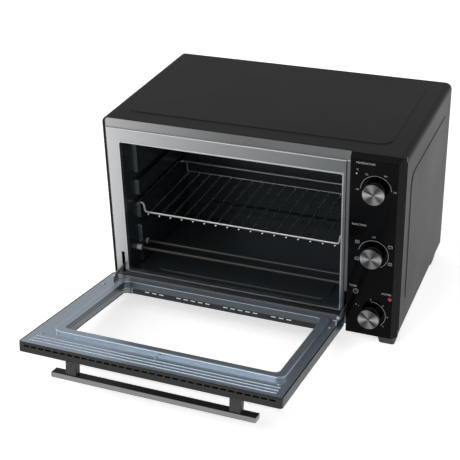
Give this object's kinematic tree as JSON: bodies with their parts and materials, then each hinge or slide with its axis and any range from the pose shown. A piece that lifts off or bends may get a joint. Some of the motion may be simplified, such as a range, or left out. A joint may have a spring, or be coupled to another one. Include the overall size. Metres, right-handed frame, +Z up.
{
  "type": "toaster oven",
  "caption": "Counter-top toaster oven with a drop-down glazed door resting open, a wire rack, heating rods and a column of control dials.",
  "frame": {"origin": "on the ground, under the middle of the whole object's bounding box with the door open", "axes": "+X to the user's right, +Y to the back, +Z up; the door opens towards -Y"},
  "size_m": [0.5424, 0.6738, 0.3572],
  "materials": {
    "casing_paint": "dark grey baked satin paint",
    "galvanised": "pale zinc-coated sheet",
    "enamel": "dark glossy cavity coating",
    "door_steel": "blue-grey satin coating",
    "door_edge": "dark grey satin coating",
    "spacer_steel": "plain sheet steel",
    "bordered_glass": "clear in the middle with a black printed border",
    "fascia_plastic": "glossy black",
    "overlay_film": "glossy black with pale printed scales",
    "knob_plastic": "satin black",
    "cap_metal": "spun in rings, with a raised pointer",
    "shaft_steel": "turned, bare",
    "hinge_steel": "zinc plated",
    "rack_chrome": "bright plated wire",
    "rod_steel": "dark heat-tinted steel tube",
    "ceramic": "off-white ceramic",
    "handle_steel": "brushed along its length",
    "handle_plastic": "satin black",
    "screw_steel": "zinc plated",
    "bush_plastic": "natural white",
    "foot_rubber": "matt black",
    "component_plastic": "moulded dark",
    "lamp_red": "translucent red",
    "lamp_body": "neon lamp body"
  },
  "bodies": {
    "oven": {"outer_casing": "casing_paint", "back_cover": "casing_paint", "base_pan": "galvanised", "feet": "foot_rubber", "foot_screws": "screw_steel", "front_frame": "galvanised", "control_fascia": "fascia_plastic", "dial_overlay": "overlay_film", "control_bracket": "galvanised", "bracket_screws": "screw_steel", "heat_shield": "galvanised", "cavity_left_wall": "enamel", "cavity_right_wall": "enamel", "cavity_ceiling": "enamel", "cavity_floor": "enamel", "cavity_back": "enamel", "lower_heating_rods": "rod_steel", "upper_heating_rods": "rod_steel", "rod_insulators": "ceramic", "thermostat": "component_plastic", "function_switch": "component_plastic", "timer": "component_plastic", "timer_bell": "galvanised", "indicator_lamp": "lamp_body", "lamp_lens": "lamp_red", "terminal_block": "bush_plastic", "cord_gland": "component_plastic", "back_screws": "screw_steel", "hinge_lugs": "hinge_steel", "pivot_pins": "shaft_steel", "hinge_springs": "hinge_steel", "spring_anchors": "galvanised"},
    "door": {"door_frame": "door_edge", "door_inner_panel": "door_steel", "window_spacer": "spacer_steel", "outer_glass": "bordered_glass", "handle_core": "handle_plastic", "handle_skin": "handle_steel", "handle_posts": "handle_plastic", "handle_screws": "screw_steel", "panel_screws": "screw_steel", "pivot_bushes": "bush_plastic", "strap_brackets": "hinge_steel", "strap_pins": "shaft_steel"},
    "straps": {"hinge_straps": "hinge_steel"},
    "rack": {"rack_rim": "rack_chrome", "rack_wires": "rack_chrome"},
    "temperature_dial": {"temperature_knob": "knob_plastic", "temperature_cap": "cap_metal", "temperature_shaft": "shaft_steel"},
    "function_dial": {"function_knob": "knob_plastic", "function_cap": "cap_metal", "function_shaft": "shaft_steel"},
    "timer_dial": {"timer_knob": "knob_plastic", "timer_cap": "cap_metal", "timer_shaft": "shaft_steel"}
  },
  "joints": [
    {"name": "door_hinge", "type": "hinge", "parent": "oven", "child": "door", "pos_m": [0, -0.01699, 0.032], "axis": [1, 0, 0], "range_deg": [-80.3, 0], "deforming": ["hinge_springs"]},
    {"name": "strap_pivot", "type": "hinge", "parent": "door", "child": "straps", "pos_m": [0, -0.03893, 0.05797], "axis": [1, 0, 0], "range_deg": [0, 80.3]},
    {"name": "rack_slide", "type": "slide", "parent": "oven", "child": "rack", "axis": [0, -1, 0], "range_m": [0, 0.165]},
    {"name": "temperature_turn", "type": "hinge", "parent": "oven", "child": "temperature_dial", "pos_m": [0.2235, -0.02049, 0.296], "axis": [0, 1, 0], "range_deg": [0, 210]},
    {"name": "function_turn", "type": "hinge", "parent": "oven", "child": "function_dial", "pos_m": [0.2235, -0.02049, 0.1785], "axis": [0, 1, 0], "range_deg": [-120, 120]},
    {"name": "timer_turn", "type": "hinge", "parent": "oven", "child": "timer_dial", "pos_m": [0.2235, -0.02049, 0.061], "axis": [0, 1, 0], "range_deg": [0, 285]}
  ],
  "couplings": [
    {"joint": "strap_pivot", "follows": "door_hinge", "ratio": -1}
  ]
}
